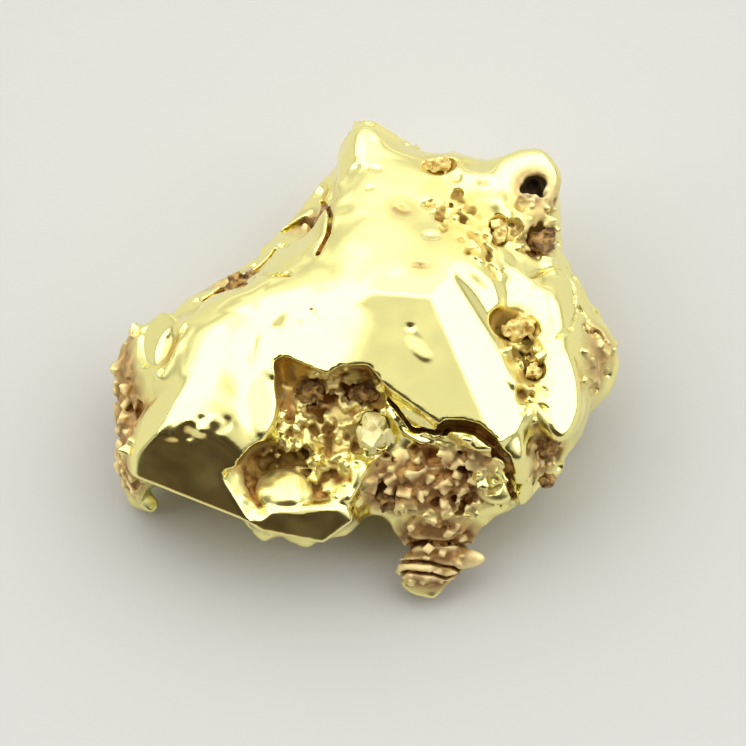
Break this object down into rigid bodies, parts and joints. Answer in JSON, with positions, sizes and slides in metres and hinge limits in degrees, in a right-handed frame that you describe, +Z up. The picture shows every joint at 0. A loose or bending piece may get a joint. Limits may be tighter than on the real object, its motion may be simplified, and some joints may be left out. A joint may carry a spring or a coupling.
{
  "type": "gold nugget",
  "caption": "Small irregular natural gold nugget with a burnished dome, a crystalline hollow and grains of quartz and ironstone lodged in its pits.",
  "frame": {"origin": "under the middle of the nugget's box, on the surface that its worn flat rests on", "axes": "+X along its longest side, from the broad west lobe to the east block; +Y from the thin tail towards the peak; +Z up through the dome"},
  "size_m": [0.012, 0.0112, 0.0053],
  "materials": {
    "native_gold": "polished",
    "stained_quartz": "satin",
    "ironstone": "matte"
  },
  "bodies": {
    "root": {"gold_mass": "native_gold", "summit_quartz_grain": "stained_quartz", "upper_pit_quartz_grain": "stained_quartz", "east_pocket_quartz_grain": "stained_quartz", "east_run_quartz_grain": "stained_quartz", "cavity_quartz_grain": "stained_quartz", "northeast_ironstone_grain": "ironstone", "southeast_ironstone_grain": "ironstone", "southeast_foot_ironstone_grain": "ironstone", "cavity_west_ironstone_grain": "ironstone", "cavity_east_ironstone_grain": "ironstone", "apron_ironstone_grain": "ironstone", "north_groove_ironstone_grain": "ironstone", "northwest_groove_ironstone_grain": "ironstone"}
  },
  "joints": []
}
